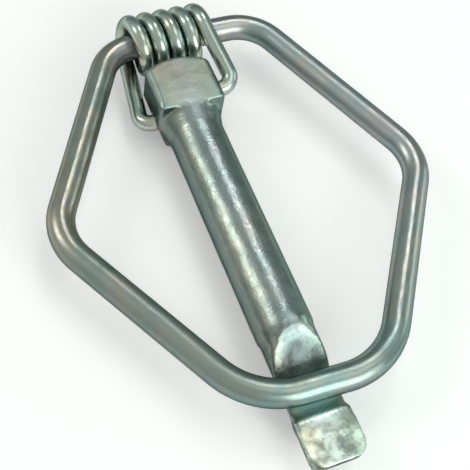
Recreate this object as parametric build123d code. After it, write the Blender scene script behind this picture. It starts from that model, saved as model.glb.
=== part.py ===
from build123d import *
from math import acos, atan2, cos, degrees, hypot, radians, sin, tan
import os

# Wire lock pin, in millimetres.
# The origin is on the shank's axis, where the full round of the shank starts below the neck.
# +Y runs towards the head and the coil, +X across the head, +Z up from the head's flat face.
# Heights along the pin are counted from the shoulder under the head, which lies a neck above the origin.

# Forged pin
shank_diameter = 11.0
grip_length = 48.0            # from the shoulder to where the ramp starts
ramp_angle = 35.0             # slope from the shank down to the saddle, in degrees
ramp_nose_radius = 6.0        # rounding at the top of the ramp
saddle_hollow_radius = 2.4    # rounding at the foot of the ramp and of the lip
lip_angle = 42.0              # slope from the saddle up to the tab, in degrees
lip_run = 2.9                 # from the wire's middle to the foot of the lip
tab_face_height = 0.45        # of the tab's flat face above the shank's axis
tab_length = 8.9              # of the flat face
tab_corner_radius = 2.9
tab_nose_rise = 3.8           # lead-in under the tab's tip
tab_nose_length = 5.5
waist_depth = 0.3             # how far the end is drawn in between the shank and the tab
waist_blend = 0.9             # length of the cones at both ends of the waist
ramp_run = 2.9                # from the foot of the ramp to the wire's middle
lip_round = 1.0               # rounding at the top of the lip

# Head of the pin
head_width = 13.6
head_depth = 13.6
head_side_height = 9.4        # of the sides above the shoulder
crown_rise = 2.2              # of the curved top above the sides
head_front_chamfer = 1.0
head_back_chamfer = 0.6
head_parting = 0.2            # depth below the pin's axis where the sides start to draw in
head_draft = 19.0             # of the sides below that, in degrees
crown_chamfer = 0.4
shoulder_bevel = 2.7          # length of the bevel from the head's front face to the shank
neck_flare = 0.9              # how far the neck widens under the head, on the radius
neck_length = 3.5
cross_hole_height = 3.9       # of the hole's axis above the shoulder, at mid width
cross_hole_climb = 9.0        # the hole is drilled askew: it climbs towards +X, in degrees
cross_hole_slant = 12.0       # and rises from back to front, in degrees

# Coil spring
spring_wire = 3.2
coil_pitch = 3.45
coil_whole_turns = 4          # full turns, besides the part turn between the legs
coil_gap = 1.8                # between the head's crown and the coil
coil_lift = 2.1               # of the coil's axis above the shank's axis
coil_shift = 1.1              # of the coil's middle to one side of the pin
left_leg_reach = 9.2          # from the pin's axis to the leg's corner
right_leg_reach = 11.1
leg_lead = 2.0                # straight start of each leg before it spreads
leg_spread_radius = 8.0
leg_corner_radius = 2.4
spring_end_gap = 3.4          # between the two ends inside the cross hole

# Wire ring
ring_wire = 5.2
ring_bar = 31.8               # between the top corners, measured before rounding
ring_width = 73.6             # between the side corners, measured before rounding
ring_bottom = 25.4            # between the bottom corners, measured before rounding
ring_side_drop = 40.2         # from the bar to the side corners
ring_shift = 5.2              # of the ring along its bar
ring_lean = 2.3               # of the ring's body against its bar, in degrees
ring_top_radius = 9.0
ring_side_radius = 11.0
ring_bottom_radius = 15.0
ring_end_gap = 0.6            # between the wire's two ends, inside the coil

# Clearances, on the radius or as a gap
coil_clearance = 0.6
cross_hole_clearance = 0.5
saddle_clearance = 0.15

# Sizes that follow from those above
shank_radius = shank_diameter / 2
ring_radius = ring_wire / 2
spring_radius = spring_wire / 2
coil_radius = ring_radius + coil_clearance + spring_radius
coil_height = head_side_height + crown_rise + coil_gap + coil_radius + spring_radius
cross_hole_radius = spring_radius + cross_hole_clearance
saddle_floor = coil_lift - ring_radius - saddle_clearance
ramp_top = -grip_length
ramp_foot = ramp_top - (shank_radius - saddle_floor) / tan(radians(ramp_angle))
wire_seat = ramp_foot - ramp_run
lip_foot = wire_seat - lip_run
lip_top = lip_foot - (tab_face_height - saddle_floor) / tan(radians(lip_angle))
ring_length = coil_height - wire_seat      # from the ring's bar to its bottom run
tab_tip = lip_top - tab_length
cross_axis = Vector(
    1, tan(radians(cross_hole_climb)), tan(radians(cross_hole_slant))
).normalized()


def head():
    """Squared block with a curved crown, bevelled all round down to the shank."""
    side = head_width / 2
    face = head_depth / 2
    crown = head_side_height + crown_rise
    with BuildSketch(Plane.XY) as front:
        with BuildLine():
            ThreePointArc((-side, head_side_height), (0, crown), (side, head_side_height))
            Polyline(
                (side, head_side_height), (side, 0), (-side, 0), (-side, head_side_height),
            )
        make_face()
    with BuildSketch(Plane.YZ) as profile:
        with BuildLine():
            Polyline(
                (0, shank_radius + neck_flare), (shoulder_bevel, face), (crown + 1, face),
                (crown + 1, -face), (0, -face), close=True,
            )
        make_face()
    back_side = side - (face - head_parting) * tan(radians(head_draft))
    with BuildSketch(Plane.XZ) as section:
        with BuildLine():
            Polyline(
                (-side, face), (-side, -head_parting), (-back_side, -face), (back_side, -face),
                (side, -head_parting), (side, face), close=True,
            )
        make_face()
    block = extrude(front.sketch, amount=head_depth, both=True)
    block &= extrude(profile.sketch, amount=head_width, both=True)
    block &= extrude(section.sketch, amount=2 * crown, both=True)
    uprights = block.edges().filter_by(Axis.Y).group_by(Axis.Z)
    block = chamfer(uprights[-1], head_front_chamfer)
    uprights = block.edges().filter_by(Axis.Y).group_by(Axis.Z)
    block = chamfer(uprights[0], head_back_chamfer)
    arcs = [
        edge
        for edge in block.edges().filter_by(GeomType.CIRCLE)
        if abs(abs(edge.center().Z) - face) < 0.01
    ]
    return chamfer(arcs, crown_chamfer)


def shank():
    """Round shank, scooped at its end to a saddle and a flat tab with round corners."""
    overlap = shoulder_bevel
    rod = Plane.XZ.offset(-overlap) * Cylinder(
        shank_radius, overlap - tab_tip, align=(Align.CENTER, Align.CENTER, Align.MIN)
    )
    above = shank_diameter
    with BuildSketch(Plane.YZ) as scoop:
        with BuildLine():
            top = FilletPolyline(
                (ramp_top + ramp_nose_radius, shank_radius), (ramp_top, shank_radius),
                (ramp_foot, saddle_floor), (lip_foot, saddle_floor),
                (lip_top, tab_face_height), (tab_tip - 1, tab_face_height),
                radius=[ramp_nose_radius, saddle_hollow_radius, saddle_hollow_radius, lip_round],
            )
            Polyline(top @ 1, (tab_tip - 1, above), (ramp_top + ramp_nose_radius, above), top @ 0)
        make_face()
    rod -= extrude(scoop.sketch, amount=shank_diameter, both=True)
    with BuildSketch(Plane.YZ) as nose:
        with BuildLine():
            Polyline(
                (tab_tip - 1, -shank_radius + tab_nose_rise * (1 + 1 / tab_nose_length)),
                (tab_tip + tab_nose_length, -shank_radius),
                (tab_tip + tab_nose_length, -above), (tab_tip - 1, -above), close=True,
            )
        make_face()
    rod -= extrude(nose.sketch, amount=shank_diameter, both=True)
    return rod - tab_corners() - waist()


def tab_corners():
    """Space outside the tab's two round corners, seen from above."""
    cuts = []
    inner = shank_radius - tab_corner_radius
    shoulder = tab_tip + tab_corner_radius
    outer = shank_radius + 1
    for hand in (-1, 1):
        with BuildSketch(Plane.XY) as corner:
            with BuildLine():
                arc = RadiusArc(
                    (hand * shank_radius, shoulder), (hand * inner, tab_tip),
                    hand * tab_corner_radius,
                )
                Polyline(
                    arc @ 1, (hand * inner, tab_tip - 1), (hand * outer, tab_tip - 1),
                    (hand * outer, shoulder), arc @ 0,
                )
            make_face()
        cuts.append(extrude(corner.sketch, amount=shank_diameter, both=True))
    return cuts


def waist():
    """Space round the end between the shank and the tab, where it is drawn in all round."""
    outer = shank_radius + 1
    inner = shank_radius - waist_depth
    with BuildSketch(Plane.XY) as profile:
        with BuildLine():
            Polyline(
                (shank_radius, ramp_top), (inner, ramp_top - waist_blend),
                (inner, lip_top + waist_blend), (shank_radius, lip_top),
                (outer, lip_top), (outer, ramp_top), close=True,
            )
        make_face()
    return revolve(profile.sketch, axis=Axis.Y)


def neck():
    """Short flare where the shank runs out into the head."""
    flare = Plane.XZ * Cone(
        shank_radius + neck_flare, shank_radius, neck_length,
        align=(Align.CENTER, Align.CENTER, Align.MIN),
    )
    return flare


def pin():
    """Forged pin in one piece, with the skew cross hole for the spring's ends."""
    centre = Vector(0, cross_hole_height, 0)
    hole = Plane(origin=centre, z_dir=cross_axis) * Cylinder(cross_hole_radius, 3 * head_width)
    return head() + neck() + shank() - hole


def wire_along(path, radius):
    """Round wire swept along a path."""
    section = Plane(origin=path @ 0, z_dir=path % 0) * Circle(radius)
    return sweep(section, path=path, is_frenet=True)


def on_cross_axis(x):
    """Point of the cross hole's axis at the given distance from the pin's middle."""
    return Vector(0, cross_hole_height, 0) + cross_axis * (x / cross_axis.X)


def leaving_angle(corner, side):
    """Angle round the coil, from +Y towards +Z, where a leg leaves it straight for its corner."""
    across = corner.Y - coil_height
    up = corner.Z - coil_lift
    return degrees(atan2(up, across)) + side * degrees(acos(coil_radius / hypot(across, up)))


def spring():
    """Close coil round the ring's bar, with a leg down each side of the head."""
    left_corner = on_cross_axis(-left_leg_reach)
    right_corner = on_cross_axis(right_leg_reach)
    left_angle = leaving_angle(left_corner, 1) % 360
    right_angle = leaving_angle(right_corner, -1) % 360
    turns = coil_whole_turns + (right_angle - left_angle) / 360 % 1
    length = coil_pitch * turns
    start = Plane(
        origin=(coil_shift - length / 2, coil_height, coil_lift),
        x_dir=(0, cos(radians(left_angle)), sin(radians(left_angle))),
        z_dir=(1, 0, 0),
    )
    helix = start * Helix(coil_pitch, length, coil_radius)
    coil = wire_along(helix, spring_radius)
    left = leg(helix @ 0, -(helix % 0), left_corner, on_cross_axis(-spring_end_gap / 2))
    right = leg(helix @ 1, helix % 1, right_corner, on_cross_axis(spring_end_gap / 2))
    return coil + left + right


def leg(start, direction, corner, end):
    """Leg from the coil to the cross hole, bent outward and then into the hole."""
    path = FilletPolyline(
        start,
        start + direction * leg_lead,
        corner,
        end,
        radius=[leg_spread_radius, leg_corner_radius],
    )
    return wire_along(path, spring_radius)


def ring():
    """One wire bent to a rounded six-sided ring, its ends meeting inside the coil."""
    def body_point(across, drop):
        lean = radians(ring_lean)
        x = ring_shift + across * cos(lean) - drop * sin(lean)
        y = coil_height - across * sin(lean) - drop * cos(lean)
        return (x, y, coil_lift)

    def bar_point(across):
        return (across, coil_height, coil_lift)

    corners = [
        bar_point(ring_shift + ring_bar / 2),
        body_point(ring_width / 2, ring_side_drop),
        body_point(ring_bottom / 2, ring_length),
        body_point(-ring_bottom / 2, ring_length),
        body_point(-ring_width / 2, ring_side_drop),
        bar_point(ring_shift - ring_bar / 2),
    ]
    path = FilletPolyline(
        bar_point(coil_shift + ring_end_gap / 2),
        *corners,
        bar_point(coil_shift - ring_end_gap / 2),
        radius=[
            ring_top_radius, ring_side_radius, ring_bottom_radius,
            ring_bottom_radius, ring_side_radius, ring_top_radius,
        ],
    )
    return wire_along(path, ring_radius)


os.makedirs("parts", exist_ok=True)
for name, solid in {"pin": pin(), "spring": spring(), "ring": ring()}.items():
    export_step(Pos(0, neck_length, 0) * solid, f"parts/{name}.step")
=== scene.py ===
import math
import bmesh
import bpy
from mathutils import Matrix, Vector, noise as solid_noise


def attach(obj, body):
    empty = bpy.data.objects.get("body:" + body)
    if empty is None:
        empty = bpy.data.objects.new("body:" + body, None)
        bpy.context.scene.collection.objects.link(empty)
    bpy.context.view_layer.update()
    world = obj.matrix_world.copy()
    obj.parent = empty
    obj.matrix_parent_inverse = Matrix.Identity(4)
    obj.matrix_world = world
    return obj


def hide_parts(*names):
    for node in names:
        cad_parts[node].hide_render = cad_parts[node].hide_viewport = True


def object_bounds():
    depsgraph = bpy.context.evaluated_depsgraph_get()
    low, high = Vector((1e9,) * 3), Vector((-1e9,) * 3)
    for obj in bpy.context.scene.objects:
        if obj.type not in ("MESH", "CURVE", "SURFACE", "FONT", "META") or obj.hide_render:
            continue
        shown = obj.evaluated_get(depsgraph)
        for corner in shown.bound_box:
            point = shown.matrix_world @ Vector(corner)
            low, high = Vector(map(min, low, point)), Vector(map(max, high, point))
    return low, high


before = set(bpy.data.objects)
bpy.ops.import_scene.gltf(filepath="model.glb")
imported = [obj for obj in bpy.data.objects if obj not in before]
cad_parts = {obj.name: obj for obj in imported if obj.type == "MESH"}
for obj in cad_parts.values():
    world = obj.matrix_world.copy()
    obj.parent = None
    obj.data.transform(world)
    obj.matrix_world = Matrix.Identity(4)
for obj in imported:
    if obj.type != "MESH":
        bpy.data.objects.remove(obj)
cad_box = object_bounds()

MM = 0.001

# Camera, from the photograph: where it stands, and its own right, up and back directions
CAMERA_PLACE = (-53.7 * MM, -98.4 * MM, 147.2 * MM)
CAMERA_RIGHT = (0.9196, -0.3667, 0.1412)
CAMERA_UP = (0.2501, 0.8234, 0.5094)
CAMERA_BACK = (-0.3031, -0.4331, 0.8489)
CAMERA_LENS = 71.5
CAMERA_SENSOR = 36.0
CAMERA_CLIP = (0.01, 20.0)

# Lamps, which all face the part's middle: direction, width and height in metres, radiance, colour
PART_MIDDLE = Vector((0.0, -20.0 * MM, 0.0))
LAMP_DISTANCE = 0.60
LAMPS = {
    "key_lamp": ((0.28, 0.46, 0.84), 0.12, 0.18, 5.0, (1.0, 0.99, 0.95)),
    "left_lamp": ((-0.66, 0.42, 0.62), 0.14, 0.24, 4.6, (0.99, 1.0, 0.93)),
    "front_lamp": ((0.30, -0.84, 0.44), 0.40, 0.40, 3.0, (0.90, 1.0, 0.96)),
    "right_lamp": ((0.95, -0.05, 0.30), 0.26, 0.22, 1.5, (0.86, 1.0, 0.92)),
    "top_lamp": ((0.32, -0.15, 0.93), 0.30, 0.30, 1.2, (0.97, 1.0, 0.95)),
}

# Room: light and warm to the left and the front, dark and green behind on the right
ROOM_DARK_SIDE = Vector((0.62, 0.70, -0.35)).normalized()
ROOM_TINTS = [
    (0.20, (0.54, 0.57, 0.53)), (0.50, (0.46, 0.52, 0.49)), (0.80, (0.20, 0.26, 0.25)),
]

# Floor: the pale part round the pin fades to the room's tint between the two distances
FLOOR_SIZE = 6.0
FLOOR_COLOUR = (0.88, 0.88, 0.88)
FLOOR_GLOW = (0.235, 0.222, 0.235)
FLOOR_FADE = (0.16, 0.60)

# Zinc plating: noise scales in cycles per metre, and the depths of three reliefs
EDGE_TINT = (0.20, 0.26, 0.25)
NOISE_ROUGHNESS = 0.55
PATCH_SCALE = 130.0
PATCH_DETAIL = 2.0
SPOT_SCALE = 420.0
SPOT_DETAIL = 4.0
SPOT_RANGE = (0.3, 0.7)
SPOT_DEPTH = 0.6 * MM
WAVE_SCALE = 170.0
WAVE_DETAIL = 1.0
WAVE_DEPTH = 0.5 * MM
WAVE_STRENGTH = 0.5
GRAIN_SCALE = 1700.0
GRAIN_DETAIL = 3.0
GRAIN_DEPTH = 0.2 * MM

# Painted shade: the plating is darkened on the sides that face down and to the front left: ranges
# of the angle's cosine, and their shades
PAINTED_SHADE_SIDE = Vector((-0.55, -0.65, -0.52)).normalized()
PIN_PAINTED_SHADE_FACING = (0.0, 0.38)
PIN_PAINTED_SHADE = (1.0, 0.72)
RING_PAINTED_SHADE_FACING = (0.05, 0.50)
RING_PAINTED_SHADE = (1.0, 0.80)

# Pin's plating
FORGED_TINTS = [
    (0.30, (0.29, 0.37, 0.35)), (0.50, (0.34, 0.39, 0.37)), (0.70, (0.38, 0.39, 0.36)),
]
FORGED_ROUGHNESS = (0.24, 0.36)
FORGED_GRAIN = 0.30
FORGED_MOTTLE = 0.02
# Round zones of painted shade (the ramp's hollow) and painted light (the saddle): middle, inner
# and outer radius, and the shade inside and outside
HOLLOW_PAINTED_SHADE = ((0.5 * MM, -50.3 * MM, 2.0 * MM), (2.4 * MM, 4.9 * MM), (0.54, 1.0))
SADDLE_PAINTED_LIGHT = ((0.0, -57.4 * MM, -0.7 * MM), (3.4 * MM, 5.8 * MM), (2.4, 1.0))
# Painted reflection hues from its left side to the right: warm on the left, bluish in the middle,
# green on the right
PIN_SIDES = (-5.5 * MM, 5.5 * MM)
PIN_PAINTED_REFLECTION_HUES = [
    (0.0, (0.98, 1.00, 1.00)), (0.05, (1.09, 1.00, 0.92)), (0.12, (1.03, 1.00, 0.97)),
    (0.32, (0.99, 1.00, 1.06)), (0.62, (0.99, 1.00, 1.07)), (0.85, (0.92, 1.00, 0.97)),
]
# Blotches of the ramp and the tab; the tab's blotches also brighten it well above its own colour,
# as painted light
BLOTCH_SCALE = 380.0
BLOTCH_DETAIL = 3.0
BLOTCH_RANGE = (0.35, 0.65)
RAMP_MIDDLE = (0.3 * MM, -48.5 * MM, 2.8 * MM)
RAMP_EDGES = (4.5 * MM, 7.0 * MM)
RAMP_BLOTCHES = (0.62, 1.15)
TAB_BLOTCHES_AND_PAINTED_LIGHT = (0.8, 2.4)
TAB_TINT = (1.03, 1.0, 0.92)
# The head's flat face, which is duller and warmer
FACE_HEIGHTS = (6.35 * MM, 6.65 * MM)
FACE_TINT = (1.08, 1.02, 0.97)
FACE_ROUGHNESS = 0.14

# Wires' plating
WIRE_GRAIN = 0.03
WIRE_MOTTLE = 0.015
SPRING_ROUGHNESS = (0.20, 0.30)
SPRING_TINTS = [
    (0.30, (0.42, 0.53, 0.51)), (0.50, (0.49, 0.55, 0.50)), (0.70, (0.57, 0.55, 0.44)),
]
RING_ROUGHNESS = (0.27, 0.37)
RING_TINTS = [
    (0.30, (0.30, 0.37, 0.36)), (0.45, (0.35, 0.39, 0.37)),
    (0.58, (0.40, 0.39, 0.35)), (0.70, (0.36, 0.37, 0.41)),
]
# Painted light, shade and hues round the ring, from its bottom run up to its bar, on its left and
# on its right: painted shade at the bottom, painted light on the right
RING_SIDES = (-34.0 * MM, 41.0 * MM)
RING_ENDS = (-57.0 * MM, 23.0 * MM)
RING_LEFT_PAINTED_LIGHT_AND_HUES = [
    (0.0, (0.80, 0.94, 0.94)), (0.14, (0.84, 0.88, 0.87)),
    (0.60, (1.00, 0.95, 0.87)), (1.0, (1.02, 0.98, 0.92)),
]
RING_RIGHT_PAINTED_LIGHT_AND_HUES = [
    (0.0, (0.86, 0.97, 0.98)), (0.14, (1.13, 1.09, 1.11)),
    (0.60, (1.12, 1.13, 1.26)), (1.0, (1.08, 1.10, 1.18)),
]
# Middles of the two runs of the ring whose plating is duller
DULL_RUNS = [(-22.0 * MM, -35.0 * MM, 2.0 * MM), (31.0 * MM, 3.0 * MM, 2.0 * MM)]
DULL_RUN_EDGES = (12.0 * MM, 24.0 * MM)
DULL_RUN_ROUGHNESS = 0.10

# Forged pin's mesh, and the smoothing that rounds its edges
PIN_VOXEL = 0.3 * MM
SMOOTH_FACTOR = 0.5
SMOOTH_ROUNDS = 2
# Zones along the pin whose edges are worn above one height, with their rounds of smoothing
WORN_ABOVE = -2.0 * MM
WORN_ZONES = [
    (-62.3 * MM, -58.8 * MM, 14),
    (-47.5 * MM, -42.0 * MM, 8),
    (0.0 * MM, 4.8 * MM, 9),
]
# The scoop in the ramp, seen from above, pressed where the surface faces up at least this much
SCOOP_MIDDLE = Vector((0.3 * MM, -49.8 * MM))
SCOOP_RADIUS = 4.8 * MM
SCOOP_DEPTH = 0.55 * MM
SCOOP_FACING = 0.5
# Along the pin, where the tab's blotches and deeper dents begin and where they are full
TAB_START = -61.0 * MM
TAB_FULL = -63.0 * MM
# Dents, and the deeper ones of the tab: noise scales in cycles per metre
DENT_DEPTH = 0.05 * MM
DENT_SCALE = 300.0
TAB_DENT_DEPTH = 0.16 * MM
TAB_DENT_SCALE = 420.0

# The Mix node names its sockets alike for every kind of data, so those for vectors go by number
MIX_FACTOR = 0
MIX_FIRST = 4
MIX_SECOND = 5
MIX_RESULT = 1


def add_camera():
    data = bpy.data.cameras.new("camera")
    data.lens = CAMERA_LENS
    data.sensor_width = CAMERA_SENSOR
    data.clip_start, data.clip_end = CAMERA_CLIP
    eye = bpy.data.objects.new("camera", data)
    turn = Matrix((CAMERA_RIGHT, CAMERA_UP, CAMERA_BACK)).transposed()
    eye.matrix_world = Matrix.Translation(CAMERA_PLACE) @ turn.to_4x4()
    bpy.context.collection.objects.link(eye)
    bpy.context.scene.camera = eye


def add_lamps():
    for name, (direction, width, height, radiance, colour) in LAMPS.items():
        data = bpy.data.lights.new(name, "AREA")
        data.shape = "RECTANGLE"
        data.size = width
        data.size_y = height
        data.energy = radiance * math.pi * width * height
        data.color = colour
        lamp = bpy.data.objects.new(name, data)
        towards = Vector(direction).normalized()
        lamp.location = PART_MIDDLE + towards * LAMP_DISTANCE
        lamp.rotation_euler = towards.to_track_quat("Z", "Y").to_euler()
        lamp.visible_camera = False
        bpy.context.collection.objects.link(lamp)


def node(tree, kind, inputs=None, **settings):
    """A new shader node, with its settings made and each input wired or set."""
    made = tree.nodes.new(kind)
    for name, value in settings.items():
        setattr(made, name, value)
    for name, value in (inputs or {}).items():
        if isinstance(value, bpy.types.NodeSocket):
            tree.links.new(value, made.inputs[name])
        else:
            made.inputs[name].default_value = value
    return made


def vector_math(tree, operation, inputs, output="Vector"):
    return node(tree, "ShaderNodeVectorMath", inputs, operation=operation).outputs[output]


def part_place(tree):
    """The point's place in the part's own coordinates, in metres."""
    return node(tree, "ShaderNodeTexCoord").outputs["Object"]


def part_axis(tree, axis):
    """One coordinate of that place."""
    return node(tree, "ShaderNodeSeparateXYZ", {0: part_place(tree)}).outputs[axis]


def noise(tree, place, scale, detail):
    inputs = {"Vector": place, "Scale": scale, "Detail": detail, "Roughness": NOISE_ROUGHNESS}
    return node(tree, "ShaderNodeTexNoise", inputs).outputs["Fac"]


def ramp(tree, factor, stops):
    """A colour that runs through (position, colour) stops."""
    made = node(tree, "ShaderNodeValToRGB", {"Fac": factor})
    elements = made.color_ramp.elements
    while len(elements) < len(stops):
        elements.new(0.5)
    for element, (position, colour) in zip(elements, stops):
        element.position = position
        element.color = (*colour, 1)
    return made.outputs["Color"]


def mapped(tree, value, from_range, to_range, kind="SMOOTHSTEP"):
    """A value carried from one range to another, eased unless kind says otherwise."""
    inputs = {
        "Value": value,
        "From Min": from_range[0], "From Max": from_range[1],
        "To Min": to_range[0], "To Max": to_range[1],
    }
    return node(tree, "ShaderNodeMapRange", inputs, interpolation_type=kind).outputs["Result"]


def shaded(tree, colour, factor):
    """A colour brightened or darkened by a factor that varies over the surface."""
    return vector_math(tree, "SCALE", {0: colour, "Scale": factor})


def tinted(tree, colour, tint):
    """A colour under a tint, the same all over or varying."""
    return vector_math(tree, "MULTIPLY", {0: colour, 1: tint})


def mixed(tree, factor, first, second):
    inputs = {MIX_FACTOR: factor, MIX_FIRST: first, MIX_SECOND: second}
    return node(tree, "ShaderNodeMix", inputs, data_type="VECTOR").outputs[MIX_RESULT]


def near(tree, place, middle, edges, to_range=(1.0, 0.0)):
    """A value that runs over to_range between two distances from a middle."""
    away = vector_math(tree, "DISTANCE", {0: place, 1: middle}, "Value")
    return mapped(tree, away, edges, to_range)


def room_tint(tree, direction):
    """The room's colour in a direction from the part."""
    side = vector_math(tree, "DOT_PRODUCT", {0: direction, 1: ROOM_DARK_SIDE}, "Value")
    return ramp(tree, mapped(tree, side, (-1.0, 1.0), (0.0, 1.0), "LINEAR"), ROOM_TINTS)


def add_room():
    room = bpy.data.worlds.new("room")
    bpy.context.scene.world = room
    room.use_nodes = True
    tree = room.node_tree
    direction = node(tree, "ShaderNodeTexCoord").outputs["Generated"]
    background = tree.nodes["Background"]
    background.inputs["Strength"].default_value = 1.0
    tree.links.new(room_tint(tree, direction), background.inputs["Color"])


def seen_rays(tree):
    """1 for camera, glossy and transmission rays."""
    rays = node(tree, "ShaderNodeLightPath").outputs
    seen = rays["Is Camera Ray"]
    for kind in ("Is Glossy Ray", "Is Transmission Ray"):
        inputs = {0: seen, 1: rays[kind]}
        seen = node(tree, "ShaderNodeMath", inputs, operation="MAXIMUM").outputs[0]
    return seen


def floor_material():
    """Matt and pale, with a glow for the rays that see it, and the room's tint further out."""
    material = bpy.data.materials.new("pale_floor")
    material.use_nodes = True
    tree = material.node_tree
    tree.nodes.clear()
    place = part_place(tree)
    seen = seen_rays(tree)
    tint = room_tint(tree, vector_math(tree, "NORMALIZE", {0: place}))
    matt = node(tree, "ShaderNodeBsdfDiffuse", {"Color": (*FLOOR_COLOUR, 1)})
    glow = node(tree, "ShaderNodeEmission", {"Color": (*FLOOR_GLOW, 1), "Strength": seen})
    close = node(tree, "ShaderNodeAddShader", {0: matt.outputs[0], 1: glow.outputs[0]})
    far = node(tree, "ShaderNodeEmission", {"Color": tint, "Strength": seen})
    distance = vector_math(tree, "LENGTH", {0: place}, "Value")
    fade = mapped(tree, distance, FLOOR_FADE, (0.0, 1.0))
    parts = {0: fade, 1: close.outputs[0], 2: far.outputs[0]}
    both = node(tree, "ShaderNodeMixShader", parts)
    node(tree, "ShaderNodeOutputMaterial", {"Surface": both.outputs[0]})
    return material


def add_floor():
    level = cad_box[0][2]
    half = FLOOR_SIZE / 2
    corners = [(-half, -half), (half, -half), (half, half), (-half, half)]
    mesh = bpy.data.meshes.new("floor")
    mesh.from_pydata([(x, y, level) for x, y in corners], [], [(0, 1, 2, 3)])
    mesh.materials.append(floor_material())
    sheet = bpy.data.objects.new("floor", mesh)
    bpy.context.collection.objects.link(sheet)


def relief(tree, height, strength, depth, under=None):
    """A bump, laid over the normal of the one under it."""
    inputs = {"Height": height, "Strength": strength, "Distance": depth}
    if under is not None:
        inputs["Normal"] = under
    return node(tree, "ShaderNodeBump", inputs).outputs["Normal"]


def zinc(name, tints, roughness, grain, mottle):
    """Zinc plating: tinted patches, mottled gloss and a grainy surface."""
    material = bpy.data.materials.new(name)
    material.use_nodes = True
    tree = material.node_tree
    shader = tree.nodes["Principled BSDF"]
    shader.inputs["Metallic"].default_value = 1.0
    shader.inputs["Specular Tint"].default_value = (*EDGE_TINT, 1)
    place = part_place(tree)
    patches = noise(tree, place, PATCH_SCALE, PATCH_DETAIL)
    spots = noise(tree, place, SPOT_SCALE, SPOT_DETAIL)
    waves = noise(tree, place, WAVE_SCALE, WAVE_DETAIL)
    grains = noise(tree, place, GRAIN_SCALE, GRAIN_DETAIL)
    normal = relief(tree, waves, WAVE_STRENGTH, WAVE_DEPTH)
    normal = relief(tree, spots, mottle, SPOT_DEPTH, normal)
    normal = relief(tree, grains, grain, GRAIN_DEPTH, normal)
    gloss = mapped(tree, spots, SPOT_RANGE, roughness, "LINEAR")
    tree.links.new(ramp(tree, patches, tints), shader.inputs["Base Color"])
    tree.links.new(gloss, shader.inputs["Roughness"])
    tree.links.new(normal, shader.inputs["Normal"])
    return material


def coloured(material, change):
    """Passes the material's colour through a function and wires what comes back."""
    tree = material.node_tree
    socket = tree.nodes["Principled BSDF"].inputs["Base Color"]
    tree.links.new(change(tree, socket.links[0].from_socket), socket)


def roughened(material, where, amount):
    """Adds roughness where a value is 1."""
    tree = material.node_tree
    socket = tree.nodes["Principled BSDF"].inputs["Roughness"]
    inputs = {0: where, 1: amount, 2: socket.links[0].from_socket}
    duller = node(tree, "ShaderNodeMath", inputs, operation="MULTIPLY_ADD")
    tree.links.new(duller.outputs[0], socket)


def painted_side_shade(tree, colour, facing_range, shade):
    """A colour darkened, as painted shade, on the sides that face down and to the front left."""
    normal = node(tree, "ShaderNodeTexCoord").outputs["Normal"]
    facing = vector_math(tree, "DOT_PRODUCT", {0: normal, 1: PAINTED_SHADE_SIDE}, "Value")
    return shaded(tree, colour, mapped(tree, facing, facing_range, shade))


def on_face(tree):
    """1 on the head's flat face."""
    return mapped(tree, part_axis(tree, "Z"), FACE_HEIGHTS, (0.0, 1.0))


def blotched(tree, colour, shades):
    """A colour with cloudy blotches, from the first shade to the second."""
    clouds = noise(tree, part_place(tree), BLOTCH_SCALE, BLOTCH_DETAIL)
    return shaded(tree, colour, mapped(tree, clouds, BLOTCH_RANGE, shades))


def forged_colour(tree, colour):
    """Painted shade in the ramp's hollow, painted light in the saddle, painted reflection hues
    from side to side, blotches on the ramp, blotches on the tab that also paint light, a warmer
    face, and painted shade on the sides that face down and to the front left.
    """
    place = part_place(tree)
    # Painted shade in the ramp's hollow and painted light in the saddle
    for middle, edges, shades in (HOLLOW_PAINTED_SHADE, SADDLE_PAINTED_LIGHT):
        colour = shaded(tree, colour, near(tree, place, middle, edges, shades))
    # Painted reflection hues across the pin, from side to side
    across = mapped(tree, part_axis(tree, "X"), PIN_SIDES, (0.0, 1.0))
    colour = tinted(tree, colour, ramp(tree, across, PIN_PAINTED_REFLECTION_HUES))
    on_ramp = near(tree, place, RAMP_MIDDLE, RAMP_EDGES)
    colour = mixed(tree, on_ramp, colour, blotched(tree, colour, RAMP_BLOTCHES))
    on_tab = mapped(tree, part_axis(tree, "Y"), (TAB_FULL, TAB_START), (1.0, 0.0))
    # The tab's blotches: random mottling that also brightens it, as painted light
    tab = blotched(tree, tinted(tree, colour, TAB_TINT), TAB_BLOTCHES_AND_PAINTED_LIGHT)
    colour = mixed(tree, on_tab, colour, tab)
    colour = mixed(tree, on_face(tree), colour, tinted(tree, colour, FACE_TINT))
    # Painted shade on the pin's sides that face down and to the front left
    return painted_side_shade(tree, colour, PIN_PAINTED_SHADE_FACING, PIN_PAINTED_SHADE)


def forged_zinc():
    material = zinc("forged_zinc", FORGED_TINTS, FORGED_ROUGHNESS, FORGED_GRAIN, FORGED_MOTTLE)
    coloured(material, forged_colour)
    roughened(material, on_face(material.node_tree), FACE_ROUGHNESS)
    return material


def ring_colour(tree, colour):
    """Painted light, shade and hue round the ring: darker at the bottom, warm on the upper left,
    lighter and bluish on the right; then painted shade on the sides that face down and to the
    front left.
    """
    across = mapped(tree, part_axis(tree, "X"), RING_SIDES, (0.0, 1.0))
    along = mapped(tree, part_axis(tree, "Y"), RING_ENDS, (0.0, 1.0))
    left = ramp(tree, along, RING_LEFT_PAINTED_LIGHT_AND_HUES)
    right = ramp(tree, along, RING_RIGHT_PAINTED_LIGHT_AND_HUES)
    # Painted light and shade with hues: darker at the bottom, lighter and bluish on the right
    colour = tinted(tree, colour, mixed(tree, across, left, right))
    # Painted shade on the ring's sides that face down and to the front left
    return painted_side_shade(tree, colour, RING_PAINTED_SHADE_FACING, RING_PAINTED_SHADE)


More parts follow.
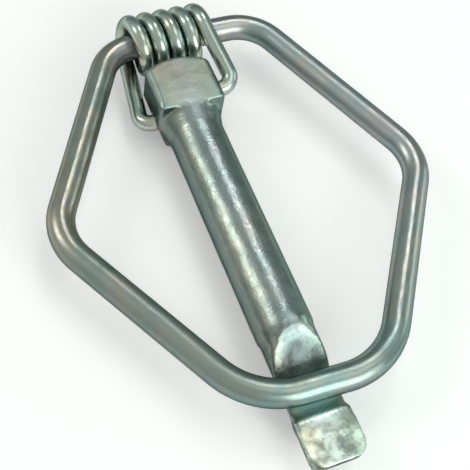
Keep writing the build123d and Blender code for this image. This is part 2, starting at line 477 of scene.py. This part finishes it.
def ring_zinc():
    material = zinc("ring_zinc", RING_TINTS, RING_ROUGHNESS, WIRE_GRAIN, WIRE_MOTTLE)
    coloured(material, ring_colour)
    tree = material.node_tree
    for middle in DULL_RUNS:
        on_run = near(tree, part_place(tree), middle, DULL_RUN_EDGES)
        roughened(material, on_run, DULL_RUN_ROUGHNESS)
    return material


def spring_zinc():
    return zinc("spring_zinc", SPRING_TINTS, SPRING_ROUGHNESS, WIRE_GRAIN, WIRE_MOTTLE)


def softened(source, name):
    """A copy of a CAD node, evenly meshed and with its edges rounded."""
    piece = bpy.data.objects.new(name, bpy.data.objects[source].data.copy())
    bpy.context.collection.objects.link(piece)
    even = piece.modifiers.new("even", "REMESH")
    even.mode = "VOXEL"
    even.voxel_size = PIN_VOXEL
    blunt = piece.modifiers.new("blunt", "SMOOTH")
    blunt.factor = SMOOTH_FACTOR
    blunt.iterations = SMOOTH_ROUNDS
    done = piece.evaluated_get(bpy.context.evaluated_depsgraph_get())
    mesh = bpy.data.meshes.new_from_object(done)
    piece.modifiers.clear()
    piece.data = mesh
    mesh.materials.clear()
    return piece


def soft_step(value, low, high):
    t = min(max((value - low) / (high - low), 0.0), 1.0)
    return t * t * (3 - 2 * t)


def unevenness(point, scale):
    """Noise from about 0 to about 1 at a point."""
    return 0.5 + 0.5 * solid_noise.noise(point * scale)


def wear_edges(work):
    for low, high, rounds in WORN_ZONES:
        zone = [v for v in work.verts if low < v.co.y < high and v.co.z > WORN_ABOVE]
        for _ in range(rounds):
            bmesh.ops.smooth_vert(
                work, verts=zone, factor=SMOOTH_FACTOR,
                use_axis_x=True, use_axis_y=True, use_axis_z=True,
            )


def forge(mesh):
    """Wears the pin's edges round, then presses the scoop and the dents inwards."""
    work = bmesh.new()
    work.from_mesh(mesh)
    wear_edges(work)
    work.normal_update()
    normals = [v.normal.copy() for v in work.verts]
    for vertex, normal in zip(work.verts, normals):
        reach = (vertex.co.xy - SCOOP_MIDDLE).length / SCOOP_RADIUS
        if reach < 1 and normal.z > SCOOP_FACING:
            vertex.co.z -= SCOOP_DEPTH * (1 - reach ** 2) ** 2
        on_tab = soft_step(-vertex.co.y, -TAB_START, -TAB_FULL)
        dent = DENT_DEPTH * unevenness(vertex.co, DENT_SCALE)
        dent += TAB_DENT_DEPTH * on_tab * unevenness(vertex.co, TAB_DENT_SCALE)
        vertex.co -= normal * dent
    work.to_mesh(mesh)
    work.free()
    mesh.shade_smooth()


def dress(source, material):
    """Gives a carried CAD node its material."""
    for slot in bpy.data.objects[source].material_slots:
        slot.material = material


add_camera()
add_lamps()
add_room()
add_floor()
pin = softened("pin", "forged_pin")
forge(pin.data)
pin.data.materials.append(forged_zinc())
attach(pin, "pin")
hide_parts("pin")
dress("spring", spring_zinc())
dress("ring", ring_zinc())

bpy.context.scene.view_settings.view_transform = "Standard"
